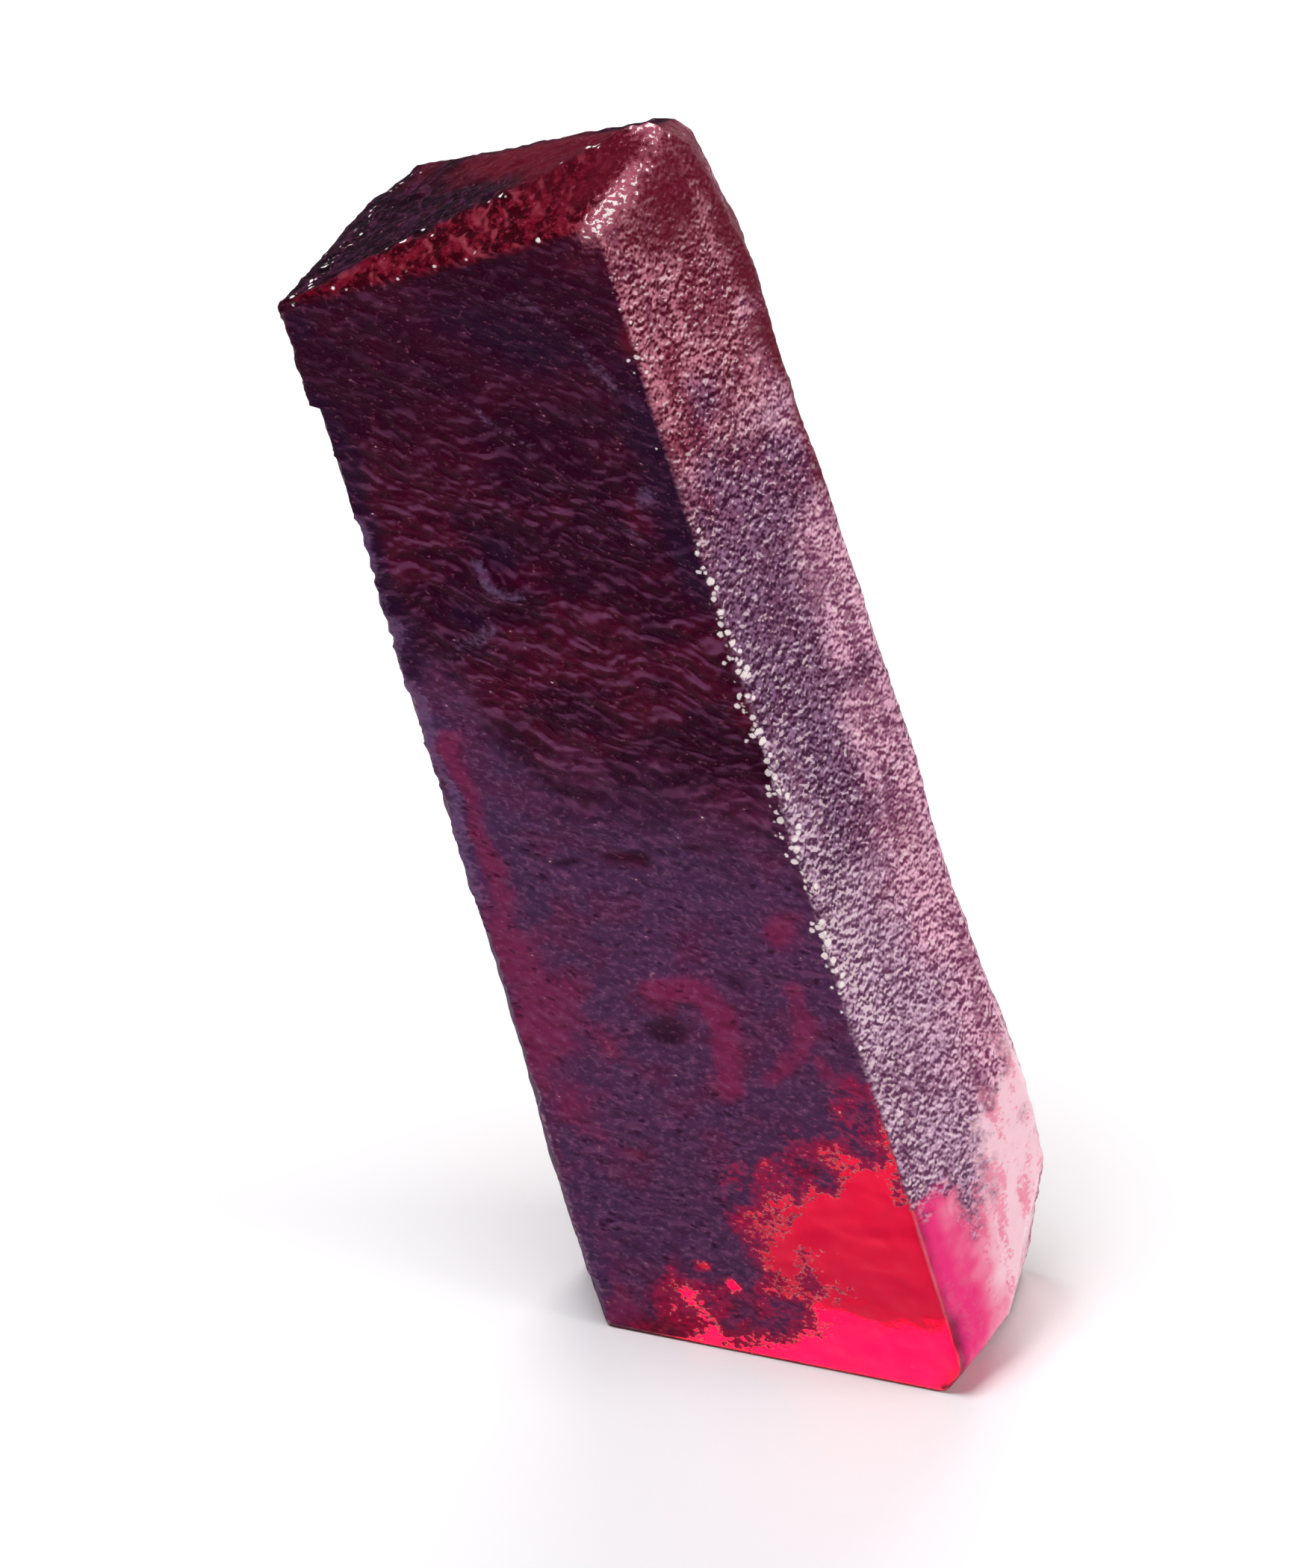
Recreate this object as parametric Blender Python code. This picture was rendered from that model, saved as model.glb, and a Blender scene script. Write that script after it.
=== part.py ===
"""One loose red beryl crystal: a six-sided prism that leans on its oblique broken foot, +Z up, in metres.

The prism is a block cut by planes, its edges are bevelled as wear, and its faces then get the low relief
of etched crystal: swells, hollows, growth ledges and a notch. The foot stays a true plane at z = 0.
"""

import math

import bmesh
import bpy
from mathutils import Vector, noise

MM = 0.001

# How the crystal stands: its long axis leans to -X, and a little to -Y.
LEAN_LEFT = math.radians(15.2)
LEAN_FRONT = math.radians(1.0)
PRISM_TURN = math.radians(-21.5)  # the front face's own run, about the long axis, from +X

# The hexagonal section, across the long axis.
FRONT_WIDTH = 7.05 * MM
FLANK_WIDTH = 3.05 * MM
END_WIDTH = 2.4 * MM

# How much each prism face opens from parallel, in radians: the crystal is slightly wider at its foot.
FLANK_TAPER = 0.006
RIGHT_END_TAPER = 0.012
LEFT_END_TAPER = 0.007

# The front left corner of the foot. It puts the origin under the middle of the whole crystal.
FOOT_CORNER = Vector((-1.18 * MM, -0.66 * MM, 0.0))

# Facets other than the prism's: which way each faces round Z, how far up it looks, both in degrees,
# and its distance from the foot corner in millimetres.
FACETS = {
    "front_top_slope": (-156.3, 54.7, 21.26),
    "back_top_slope": (159.3, 57.2, 21.45),
    "rear_rim": (118.4, 60.5, 22.09),
    "left_rim": (155.9, 39.8, 18.03),
    "right_shoulder": (-43.3, 31.3, 14.89),
    "right_corner": (9.5, 23.7, 11.59),
    "top_corner": (29.9, 52.9, 20.99),
    "low_right_break": (-9.4, -10.1, 7.26),
    "low_right_chip": (-22.8, -28.8, 5.94),
    "low_front_bevel": (-36.3, 4.0, 6.92),
}

EDGE_WEAR = 0.14 * MM  # width of the bevel on the worn edges
RELIEF_CELL = 0.62 * MM  # spacing of the cuts that give the relief its vertices
FOOT_FADE = 0.8 * MM  # the relief dies out over this height above the foot

# Relief on every face: broad swells, and ripples drawn out across the long axis.
SWELL_SIZE = 2.6 * MM
SWELL_HEIGHT = 0.07 * MM
RIPPLE_SIZE = 1.1 * MM
RIPPLE_STRETCH = 2.2
RIPPLE_HEIGHT = 0.05 * MM

# Hollows and lumps of the front face, in millimetres: place across it from its left edge, height along
# the long axis, half width, half height, and depth (a lump's is negative).
FRONT_FORMS = (
    (2.85, 17.3, 0.62, 0.50, 0.13),
    (2.80, 16.55, 0.70, 0.28, -0.08),
    (2.10, 15.6, 0.85, 0.55, -0.06),
    (5.20, 19.9, 1.10, 0.45, 0.06),
    (4.30, 13.1, 1.40, 0.60, 0.07),
    (1.70, 20.6, 0.90, 0.55, 0.06),
    (5.00, 8.7, 0.90, 0.70, 0.06),
    (2.20, 4.3, 1.20, 0.90, -0.06),
)

# Growth ledges of the front face, in millimetres: height along the axis at the left edge, how far the
# step climbs towards the right edge, and how deep the face drops below it.
FRONT_LEDGES = ((14.1, -1.5, 0.05), (11.4, -0.9, 0.06), (18.4, 0.9, 0.04))
LEDGE_SOFTNESS = 0.35 * MM

# The left edge stands proud above the notch and is worn back in two steps below it.
NOTCH_HEIGHT = 20.65 * MM
NOTCH_STEP = 0.20 * MM
EDGE_STEPS = ((18.2 * MM, 0.05 * MM), (11.9 * MM, 0.07 * MM))
EDGE_REACH = 0.7 * MM

CRYSTAL_COLOUR = (0.30, 0.012, 0.075, 1.0)
CRYSTAL_ROUGHNESS = 0.35


def clear_scene():
    for obj in list(bpy.data.objects):
        bpy.data.objects.remove(obj, do_unlink=True)


def crystal_axes():
    """The long axis, and the two directions across it: to the right, and to the back."""
    axis = Vector((-math.tan(LEAN_LEFT), -math.tan(LEAN_FRONT), 1.0)).normalized()
    right = Vector((1.0, 0.0, 0.0))
    right = (right - right.dot(axis) * axis).normalized()
    return axis, right, axis.cross(right)


AXIS, RIGHT, BACK = crystal_axes()


def run_of(side):
    """Which way prism face number side runs, seen down the long axis."""
    angle = PRISM_TURN + side * math.radians(60.0)
    return math.cos(angle) * RIGHT + math.sin(angle) * BACK


def outward_of(side, taper=0.0):
    """The direction that prism face number side faces, turned up by the taper."""
    angle = PRISM_TURN + side * math.radians(60.0)
    flat = math.sin(angle) * RIGHT - math.cos(angle) * BACK
    return math.cos(taper) * flat + math.sin(taper) * AXIS


def prism_planes():
    """A point and an outward direction for each of the six prism faces, front face first."""
    front_right = FOOT_CORNER + FRONT_WIDTH * run_of(0)
    flank_right = front_right + FLANK_WIDTH * run_of(1)
    end_back = flank_right + END_WIDTH * run_of(2)
    back_left = end_back + FRONT_WIDTH * run_of(3)
    return (
        (FOOT_CORNER, outward_of(0)),
        (front_right, outward_of(1, FLANK_TAPER)),
        (flank_right, outward_of(2, RIGHT_END_TAPER)),
        (end_back, outward_of(3)),
        (back_left, outward_of(4)),
        (FOOT_CORNER, outward_of(5, LEFT_END_TAPER)),
    )


def facet_planes():
    """A point and an outward direction for each facet of the top and of the broken lower right corner."""
    planes = []
    for facing, upward, distance in FACETS.values():
        turn, rise = math.radians(facing), math.radians(upward)
        outward = Vector((math.cos(rise) * math.cos(turn), math.cos(rise) * math.sin(turn), math.sin(rise)))
        planes.append((FOOT_CORNER + distance * MM * outward, outward))
    return planes


def cut(mesh, point, outward, keep_both=False):
    """Cuts the block with a plane. The outer part goes and the cut is closed, unless both are kept."""
    everything = mesh.verts[:] + mesh.edges[:] + mesh.faces[:]
    bmesh.ops.bisect_plane(
        mesh, geom=everything, dist=1e-8, plane_co=point, plane_no=outward, clear_outer=not keep_both
    )
    if not keep_both:
        rim = [edge for edge in mesh.edges if edge.is_boundary]
        bmesh.ops.edgeloop_fill(mesh, edges=rim)


def wear_edges(mesh):
    """A narrow bevel on every edge, but for those of the foot."""
    worn = [edge for edge in mesh.edges if max(end.co.z for end in edge.verts) > 0.1 * MM]
    bmesh.ops.bevel(mesh, geom=worn, offset=EDGE_WEAR, segments=1, profile=0.5, affect="EDGES")


def dice(mesh):
    """Cuts the faces along three sets of parallel planes, so that the relief has vertices to move."""
    for direction in (AXIS, RIGHT, BACK):
        along = [(vert.co - FOOT_CORNER).dot(direction) for vert in mesh.verts]
        steps = int((max(along) - min(along)) / RELIEF_CELL)
        for step in range(1, steps):
            cut(mesh, FOOT_CORNER + (min(along) + step * RELIEF_CELL) * direction, direction, keep_both=True)
    bmesh.ops.dissolve_degenerate(mesh, edges=mesh.edges[:], dist=0.04 * MM)


def smooth_step(value, low, high):
    share = min(max((value - low) / (high - low), 0.0), 1.0)
    return share * share * (3.0 - 2.0 * share)


def grain_relief(place):
    """Swells of even size, and ripples stretched across the long axis, both of them smooth noise."""
    height = place.dot(AXIS)
    drawn_out = (place - height * AXIS) / RIPPLE_STRETCH + height * AXIS
    swells = noise.noise(place / SWELL_SIZE)
    ripples = noise.noise(drawn_out / RIPPLE_SIZE + Vector((7.3, 1.9, 4.1)))
    return SWELL_HEIGHT * swells + RIPPLE_HEIGHT * ripples


def front_relief(across, height):
    """The front face's own hollows and lumps, each a bell shape, and its ledges, each a soft step."""
    relief = 0.0
    for centre, level, half_width, half_height, depth in FRONT_FORMS:
        reach = ((across / MM - centre) / half_width) ** 2 + ((height / MM - level) / half_height) ** 2
        relief -= depth * MM * math.exp(-reach)
    for level, climb, depth in FRONT_LEDGES:
        edge = (level + climb * across / FRONT_WIDTH) * MM
        below = 1.0 - smooth_step(height, edge - LEDGE_SOFTNESS, edge)
        fade = smooth_step(height, edge - 2.5 * MM, edge)
        relief -= depth * MM * below * fade
    return relief


def left_edge_relief(across, height):
    """How far the left edge stands out: proud above the notch, and set back below each lower step."""
    near = 1.0 - smooth_step(abs(across), 0.25 * EDGE_REACH, EDGE_REACH)
    out = NOTCH_STEP if height > NOTCH_HEIGHT else 0.0
    for level, depth in EDGE_STEPS:
        out -= depth * smooth_step(height, level - 1.2 * MM, level) * (height < level)
    return near * out


def carve_relief(mesh):
    """Moves every vertex above the foot along its normal, and out or in at the left edge."""
    mesh.normal_update()
    moves = []
    for vert in mesh.verts:
        place = vert.co - FOOT_CORNER
        across, height = place.dot(run_of(0)), place.dot(AXIS)
        relief = grain_relief(place)
        front_share = max(0.0, vert.normal.dot(outward_of(0)))
        if front_share > 0.8:
            relief += front_relief(across, height)
        shift = vert.normal * relief - run_of(0) * left_edge_relief(across, height)
        moves.append(shift * smooth_step(vert.co.z, 0.02 * MM, FOOT_FADE))
    for vert, shift in zip(mesh.verts, moves):
        vert.co += shift


def crystal_mesh():
    mesh = bmesh.new()
    bmesh.ops.create_cube(mesh, size=120.0 * MM)
    for point, outward in (*prism_planes(), *facet_planes()):
        cut(mesh, point, outward)
    cut(mesh, Vector((0.0, 0.0, 0.0)), Vector((0.0, 0.0, -1.0)))
    wear_edges(mesh)
    dice(mesh)
    carve_relief(mesh)
    bmesh.ops.triangulate(mesh, faces=mesh.faces[:])
    return mesh


def crystal_material():
    material = bpy.data.materials.new("red_beryl")
    material.use_nodes = True
    shader = material.node_tree.nodes["Principled BSDF"]
    shader.inputs["Base Color"].default_value = CRYSTAL_COLOUR
    shader.inputs["Roughness"].default_value = CRYSTAL_ROUGHNESS
    shader.inputs["Metallic"].default_value = 0.0
    return material


def make_crystal():
    data = bpy.data.meshes.new("crystal")
    mesh = crystal_mesh()
    mesh.to_mesh(data)
    mesh.free()
    data.materials.append(crystal_material())
    crystal = bpy.data.objects.new("crystal", data)
    bpy.context.scene.collection.objects.link(crystal)
    return crystal


clear_scene()
make_crystal()
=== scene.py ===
"""Red beryl crystal: the dressed crystal, its pale floor, its soft studio light and its camera.

The crystal is one closed surface of two parameters: round the six-sided section, and from the foot up the
walls to the top. It is worked out as whole arrays, softened at its edges and given etched relief.
"""

import math

import bpy
import numpy as np
from mathutils import Matrix, Vector


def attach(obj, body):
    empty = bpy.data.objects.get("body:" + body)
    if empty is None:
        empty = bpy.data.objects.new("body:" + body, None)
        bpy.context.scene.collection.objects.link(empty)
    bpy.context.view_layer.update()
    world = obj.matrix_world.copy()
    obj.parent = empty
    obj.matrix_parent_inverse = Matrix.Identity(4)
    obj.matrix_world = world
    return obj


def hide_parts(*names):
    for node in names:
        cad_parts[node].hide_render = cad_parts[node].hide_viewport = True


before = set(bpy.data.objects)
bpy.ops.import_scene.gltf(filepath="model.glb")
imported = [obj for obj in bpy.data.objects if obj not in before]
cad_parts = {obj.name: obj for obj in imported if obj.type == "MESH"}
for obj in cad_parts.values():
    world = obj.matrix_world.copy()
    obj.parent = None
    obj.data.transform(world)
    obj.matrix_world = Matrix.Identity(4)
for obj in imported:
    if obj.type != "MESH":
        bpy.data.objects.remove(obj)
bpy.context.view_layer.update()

bl_info = {
    "name": "Red beryl crystal",
    "version": (1, 0, 0),
    "blender": (4, 5, 0),
    "location": "View3D > Sidebar > Crystal",
    "description": "Builds an etched red beryl crystal, its studio floor, lights and camera",
    "category": "Add Mesh",
}

MM = 0.001

# How the crystal stands, as in the solid: its long axis leans to -X, and a little to -Y.
LEAN_LEFT = math.radians(15.2)
LEAN_FRONT = math.radians(1.0)
PRISM_TURN = math.radians(-21.5)
SIDE_TURN = math.radians(60.0)
FRONT_WIDTH = 7.05 * MM
FLANK_WIDTH = 3.05 * MM
END_WIDTH = 2.4 * MM
FLANK_TAPER = 0.006
RIGHT_END_TAPER = 0.012
LEFT_END_TAPER = 0.007
FOOT_CORNER = np.array((-1.18, -0.66, 0.0)) * MM

# Facets: which way each faces round Z and how far up it looks, in degrees, and its distance from the foot
# corner in millimetres. The steep ones are walls, the others close the top or the foot.
WALL_FACETS = ((-43.3, 31.3, 14.89), (9.5, 23.7, 11.59), (-9.4, -10.1, 7.26), (-36.3, 4.0, 6.92))
TOP_FACETS = (
    (-156.3, 54.7, 21.26), (159.3, 57.2, 21.45),
    (118.4, 60.5, 22.09), (155.9, 39.8, 18.03),
    (29.9, 52.9, 20.99),
)
FOOT_FACETS = ((-22.8, -28.8, 5.94), (0.0, -90.0, 0.0))

# Forms of the front, in millimetres: place across, height along the axis, half width, half height, rise.
FRONT_FORMS = (
    (2.85, 17.3, 0.62, 0.5, -0.13), (2.8, 16.55, 0.7, 0.28, 0.08),
    (2.1, 15.6, 0.85, 0.55, 0.06), (5.2, 19.9, 1.1, 0.45, -0.06),
    (4.3, 13.1, 1.4, 0.6, -0.07), (1.7, 20.6, 0.9, 0.55, -0.06),
    (5.0, 8.7, 0.9, 0.7, -0.06), (2.2, 4.3, 1.2, 0.9, 0.06),
)

# Growth ledges, in millimetres: height at the left edge, climb to the right edge, and depth of the drop.
FRONT_LEDGES = ((14.1, -1.5, 0.05), (11.4, -0.9, 0.06), (18.4, 0.9, 0.04))
LEDGE_DROP = 0.22  # the height over which it drops, and over which the face comes back
LEDGE_RUN = 2.4

# The left edge, in millimetres: it stands proud above the notch, and is set back below each step.
NOTCH_HEIGHT = 20.65
NOTCH_STEP = 0.2
EDGE_STEPS = ((18.2, 0.05), (11.9, 0.07))
CHIP_DEPTH = 0.15
CHIP_LENGTH = 0.34

# Relief, in millimetres. A pair of sizes is across the long axis, then along it.
SWELL_SIZE = 2.6
SWELL_HEIGHT = 0.11
LUMP_SIZE = (0.6, 0.42)
LUMP_HEIGHT = 0.05
RIPPLE_SIZE = (0.95, 0.42)
RIPPLE_FALL = 0.5  # how far the ripples fall for each unit across the front
RIPPLE_BEND = 0.45
RIPPLE_BEND_SIZE = 0.8
GRAIN_SIZE = (0.17, 0.28)
CROWN_GRAIN_SIZE = 0.24
CROWN_GRAIN_HEIGHT = 0.05
BEAD_SIZE = 0.27
BEAD_HEIGHT = 0.1
LILAC_RISE = 0.06
DARK_STROKE_DEPTH = 0.05
DARK_BELL_DEPTH = 0.04

# Noise of the markings, in millimetres.
CLOUD_SIZE = (1.5, 1.1)
BORDER_SIZE = (0.7, 0.6)
STREAK_SIZE = (0.24, 0.9)
BLOTCH_SIZE = (0.45, 0.6)
MARK_STRAY = 0.3  # how far it moves the marks on the front
MARK_STRAY_SIZE = 0.9
SWAY = 0.4  # how far a slow wave bends the finest ripples
SWAY_SIZE = 1.4

# Marks on the front, in millimetres. A place is across the face, then along the axis. A bell is its place,
# half width, half height and strength. A stroke is its half width, strength and points.
VIOLET_BELLS = (
    (6.75, 19.4, 0.5, 2.3, 0.95), (6.7, 16.9, 0.45, 1.1, 0.85),
    (3.6, 22.3, 1.9, 0.9, 0.55), (5.1, 21.6, 1.1, 0.7, 0.5),
    (2.92, 17.3, 0.42, 0.4, 1.0), (1.92, 16.1, 0.55, 0.4, 0.9),
    (0.45, 22.4, 0.3, 0.5, 0.7), (3.3, 19.0, 0.45, 0.4, 0.5),
)
VIOLET_STROKES = ((0.62, 1.3, ((0.1, 20.4), (0.12, 18.9), (0.15, 16.5), (0.2, 14.3), (0.2, 9.0))),)
# Lilac marks: raised ridges and smooth places, a paler lilac frost that is partly a painted sheen.
LILAC_BELLS = ((1.9, 15.45, 0.42, 0.26, 0.6), (6.3, 18.5, 0.35, 0.25, 0.6))
LILAC_STROKES = (
    (0.34, 0.55, ((2.3, 15.8), (1.9, 15.5), (1.3, 15.35))),
    (0.17, 0.9, ((2.42, 16.98), (2.62, 16.62), (2.9, 16.46), (3.2, 16.52))),
    (0.2, 0.42, ((4.3, 22.9), (4.88, 22.8), (5.59, 22.3), (6.07, 21.4), (6.85, 20.5))),
    (0.18, 0.45, ((4.38, 19.4), (5.34, 18.0), (7.0, 16.8))),
    (0.1, 0.5, ((3.2, 20.6), (3.7, 20.1), (4.3, 19.7))),
    (0.1, 0.45, ((2.4, 21.6), (3.1, 20.9))),
    (0.26, 0.8, ((0.22, 18.2), (0.25, 15.2), (0.28, 12.9), (0.28, 9.8))),
)
# Dark marks: hollows in the relief, mostly below the ledges, that are painted dark as painted shade.
DARK_BELLS = (
    (2.3, 10.62, 0.4, 0.13, 0.8), (3.4, 10.55, 0.55, 0.15, 1.0),
    (4.9, 10.72, 0.6, 0.13, 0.8), (3.15, 6.65, 0.6, 0.34, 1.2),
    (5.1, 7.75, 0.45, 0.22, 0.7), (5.05, 3.45, 0.4, 0.2, 0.8),
    (4.0, 0.95, 0.7, 0.45, 0.5),
)
DARK_STROKES = (
    (0.3, 0.55, ((1.6, 13.6), (2.29, 12.3), (3.3, 11.9), (4.5, 11.8))),
    (0.2, 0.7, ((1.95, 12.7), (2.6, 12.1), (3.4, 11.9))),
)
DUST_LINE = ((-0.5, 15.2), (1.0, 14.6), (1.7, 13.0), (2.3, 12.1), (4.5, 11.7), (7.2, 10.6))
BLUSH_BELLS = (
    (0.8, 6.6, 1.2, 2.8, 0.75), (0.4, 8.8, 0.55, 1.6, 0.5),
    (6.19, 8.88, 0.42, 0.4, 1.0), (6.6, 5.4, 0.5, 0.6, 0.6),
    (0.45, 1.3, 0.4, 1.4, 0.6), (0.45, 0.1, 0.6, 0.5, 1.0),
)
BLUSH_STROKES = (
    (0.34, 0.8, ((0.66, 13.3), (0.72, 11.4), (0.74, 9.0), (0.6, 7.0))),
    (0.4, 1.0, ((3.32, 7.58), (4.0, 7.62), (4.42, 7.4), (4.5, 6.85), (4.2, 5.45))),
    (0.32, 0.8, ((6.09, 7.5), (6.13, 6.67), (5.41, 6.0), (5.01, 5.71))),
    (0.28, 0.8, ((6.04, 5.98), (6.3, 5.5), (6.98, 5.1))),
)

# Bells that noise doesn't move: on the narrow right face, across it from the front edge, and on the front.
SMOKE_BELLS = (
    (0.6, 14.8, 1.0, 3.8, 1.2), (2.2, 18.0, 0.6, 1.0, 0.8),
    (1.2, 11.5, 0.5, 2.0, 0.9), (1.3, 17.5, 0.7, 1.5, 0.7),
)
# Where the narrow face's painted glints are thicker.
GLITTER_BELLS = ((0.3, 8.0, 0.6, 5.0, 1.0),)
RED_FLANK_BELLS = ((1.5, 24.2, 1.4, 1.3, 1.0),)
RED_FRONT_BELLS = ((7.0, 21.9, 0.35, 0.55, 1.0), (1.3, -0.2, 1.7, 0.6, 1.0))

# Borders of the clear part, where the skin is gone, on the front and the narrow face. Both close below the
# foot. The bells move the front one in and out.
FRONT_CLEAR = (
    (7.6, 4.9), (6.8, 4.95), (6.45, 4.5), (6.3, 3.95), (5.9, 3.85), (5.55, 3.7),
    (5.35, 3.15), (4.95, 3.35), (4.8, 2.85), (4.55, 2.7), (4.45, 3.25), (4.22, 3.1),
    (4.18, 2.5), (4.0, 1.9), (3.86, 1.4), (4.2, 1.25), (4.45, 1.45), (4.7, 1.05),
    (4.65, 0.62), (4.3, 0.55), (3.75, 0.52), (3.8, 0.25), (4.45, 0.25), (4.4, 0.05),
    (3.85, -0.3), (3.3, -0.45), (2.9, -0.48), (2.55, 0.0), (2.15, 0.42), (1.9, 0.05),
    (1.3, -0.1), (0.7, -0.35), (0.5, -0.9), (8.2, -3.0),
)
VEIL_BELLS = (
    (6.8, 4.1, 0.6, 0.75, 0.55), (7.0, 2.8, 0.3, 0.7, 0.45),
    (5.3, 3.3, 0.6, 0.35, 0.35), (1.4, -0.2, 1.3, 0.5, 0.3),
)
BARE_BELLS = ((2.84, 0.94, 0.14, 0.12, 1.6), (2.35, 1.29, 0.11, 0.11, 1.4), (4.3, 3.75, 0.16, 0.12, 1.0))
FLANK_CLEAR = (
    (-0.6, 2.5), (0.3, 2.35), (0.6, 2.55), (0.85, 2.3), (1.15, 1.75), (1.4, 2.0),
    (1.6, 2.4), (1.95, 3.1), (2.35, 3.8), (2.8, 4.3), (3.6, 4.7), (3.6, -4.0),
    (-0.6, -4.0),
)

# Softboxes: name, place and side in metres, and tone. They face a height above the foot.
SOFTBOX_AIM = 12.0 * MM
SOFTBOXES = (
    ("back", (0.06, 0.46, 0.26), 0.32, "#fffaf6"),
    ("side", (0.42, -0.14, 0.2), 0.3, "#fffaf8"),
    ("overhead", (-0.12, -0.1, 0.5), 0.26, "#fcfbff"),
)

# Patterns: texture, cell width and height in millimetres, lean in degrees, detail, how far up the axis it is
# read, in millimetres, and whether the slow wave bends it. Real etch marks and dust are too fine to show, so
# these are several times as coarse.
PATTERNS = {
    "ripple": ("TexNoise", 0.45, 0.26, 29.0, 1.0, 0.0, True),
    "ripple above": ("TexNoise", 0.45, 0.26, 29.0, 1.0, 0.10, True),
    "grain": ("TexNoise", 0.12, 0.16, 0.0, 1.0, 0.0, False),
    "grain above": ("TexNoise", 0.12, 0.16, 0.0, 1.0, 0.045, False),
    "fine": ("TexNoise", 0.13, 0.09, 25.0, 2.0, 0.0, False),
    "streak": ("TexNoise", 0.09, 1.10, 0.0, 1.0, 0.0, False),
    "pit": ("TexVoronoi", 0.30, 0.15, 25.0, 0.0, 0.0, True),
    "bead": ("TexVoronoi", 0.16, 0.16, 0.0, 0.0, 0.0, False),
}

# Sums: a value, and how much of which other is added. A pattern less the same one read above is its slope.
# A tone is a cell's own random number.
SUMS = {
    "ripple slope": ("ripple", -1.0, "ripple above"),
    "grain slope": ("grain", -1.0, "grain above"),
    "glint slope": ("grain slope", 0.1, "glitter"),
    "bead chance": ("sparkle", 0.9, "bead tone"),
    "bead shell": ("bead", -0.8, "bead chance"),
}

# Masks: the value that a smooth step is cut from, where the mask is 0 and 1, and the noise that makes its
# border ragged, with its amount. The ends hold where that noise is at its mean.
MASKS = {
    # Crests and undersides are painted light: a painted highlight on the ripples' upper sides and painted
    # shade on their undersides.
    "crests": ("ripple slope", 0.0, 0.21),
    "undersides": ("ripple slope", 0.0, -0.21),
    "dust specks": ("fine", 0.46, 0.66),
    # Lilac frost, partly a painted sheen on ridges.
    "lilac paint": ("lilac", 0.15, 1.05, "fine", 1.8),
    "blush paint": ("blush", 0.0, 1.0, "fine", 0.9),
    # Painted shade in the dark hollows, and in the pits below.
    "dark paint": ("dark", 0.15, 0.95, "fine", 1.2),
    "pits": ("pit", 0.37, 0.09, "fine", 0.9),
    "likely pits": ("pit tone", 0.38, 0.6),
    # Grains: where the grains' sides face up they take the painted lit copy of the narrow face, and
    # elsewhere the shaded copy. Glints are painted glints.
    "grains": ("grain slope", -0.14, 0.14, "streak", 0.26),
    "glints": ("glint slope", 0.12, 0.18, "fine", 0.75),
    "streaks": ("mottle", 0.05, 0.45),
    "veins": ("mottle", 0.12, 0.5, "fine", 1.6),
    "top lumps": ("ripple", 0.38, 0.62, "fine", 0.9),
    # Painted highlight on the upper sides of the top's ripples.
    "top crests": ("ripple slope", 0.05, 0.2),
    # Painted glints on the edge beads and on the clump.
    "whole beads": ("bead shell", -0.63, -0.83, "fine", 0.5),
    "likely beads": ("bead chance", 1.08, 1.12),
    "glint_clump": ("clump", 1.0, 1.25, "fine", 4.0),
    "band": ("clump", 0.1, 0.9, "fine", 1.6),
    "lace": ("clear", -0.08, 0.14, "fine", 2.0),
    "soft border": ("clear", -0.4, 0.4, "fine", 1.1),
    # Painted glow: the skin just outside the clear part, painted bright red for the light that comes
    # through.
    "glow": ("clear", -0.8, 0.05, "fine", 1.6),
    "off the flank": ("beside", 1.0, 0.0),
}

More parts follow.
